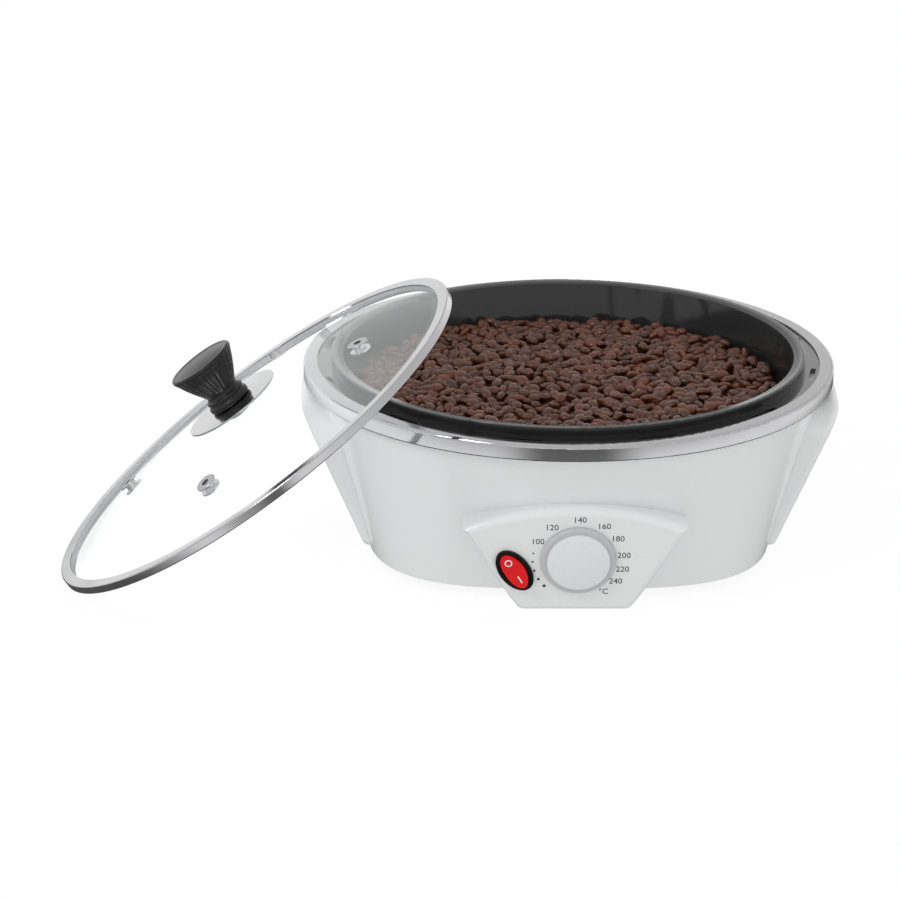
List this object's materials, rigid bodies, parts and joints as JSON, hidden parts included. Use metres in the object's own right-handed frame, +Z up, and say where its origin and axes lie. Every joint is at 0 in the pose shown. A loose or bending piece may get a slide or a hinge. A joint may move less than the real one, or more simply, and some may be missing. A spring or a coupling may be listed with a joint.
{
  "type": "home coffee bean roaster",
  "caption": "White round home coffee bean roaster with a steel ring, open black pan of roasted beans, front dial and red rocker switch, and its loose glass lid leaning on the side.",
  "frame": {"origin": "on the table, under the axis of the round pan", "axes": "+X to the roaster's right as seen from the front, along the row of lid and roaster; -Y out of the control panel; +Z up along the pan's axis"},
  "size_m": [0.4476, 0.3622, 0.1622],
  "materials": {
    "shell_white": "gloss, moulded",
    "trim_steel": "polished, turned",
    "plain_steel": "brushed",
    "nonstick": "satin non-stick coat",
    "black_plastic": "satin, moulded",
    "beans": "oily, dark roast",
    "bronze": "turned",
    "sheet_aluminium": "rolled",
    "motor_grey": "satin paint",
    "rubber": "matt",
    "dial_grey": "satin",
    "dial_pale": "gloss",
    "rocker_red": "gloss, clear red",
    "lid_glass": "clear",
    "terminal_cream": "matt"
  },
  "bodies": {
    "roaster": {"housing": "shell_white", "side_grip_right": "shell_white", "side_grip_left": "shell_white", "trim_ring": "trim_steel", "seat_ring": "black_plastic", "pan": "nonstick", "bean_charge": "beans", "shaft_bush": "bronze", "heating_element": "plain_steel", "heat_reflector": "sheet_aluminium", "reflector_posts": "plain_steel", "motor_bracket": "plain_steel", "gear_motor": "motor_grey", "base_plate": "black_plastic", "power_gland": "black_plastic", "terminal_block": "terminal_cream", "thermostat": "black_plastic", "switch_body": "black_plastic", "foot_front_right": "rubber", "foot_rear_right": "rubber", "foot_rear_left": "rubber", "foot_front_left": "rubber"},
    "stirrer": {"drive_shaft": "plain_steel", "stirrer_hub": "nonstick", "stirrer_arm_a": "nonstick", "stirrer_arm_b": "nonstick"},
    "dial": {"dial_shaft": "plain_steel", "dial_skirt": "dial_grey", "dial_cap": "dial_pale"},
    "switch_rocker": {"rocker": "rocker_red"},
    "lid": {"lid_rim": "trim_steel", "lid_glass": "lid_glass", "lid_knob_flange": "trim_steel", "lid_knob": "black_plastic", "lid_knob_washer": "rubber", "lid_knob_screw": "plain_steel", "lid_vent_1": "plain_steel", "lid_vent_2": "plain_steel", "lid_vent_3": "plain_steel", "lid_vent_4": "plain_steel"}
  },
  "joints": [
    {"name": "stirrer_spin", "type": "hinge", "parent": "roaster", "child": "stirrer", "pos_m": [0, 0, 0.06], "axis": [0, 0, 1], "continuous": true},
    {"name": "dial_turn", "type": "hinge", "parent": "roaster", "child": "dial", "pos_m": [0.0015, -0.144, 0.033], "axis": [0, -0.9863, -0.165], "range_deg": [-260, 0]},
    {"name": "rocker_tip", "type": "hinge", "parent": "roaster", "child": "switch_rocker", "pos_m": [-0.0335, -0.14194, 0.02675], "axis": [0.829, -0.0923, 0.5515], "range_deg": [0, 14]},
    {"name": "lid_lift", "type": "slide", "parent": "roaster", "child": "lid", "axis": [0, 0, 1], "range_m": [0, 0.12]}
  ]
}
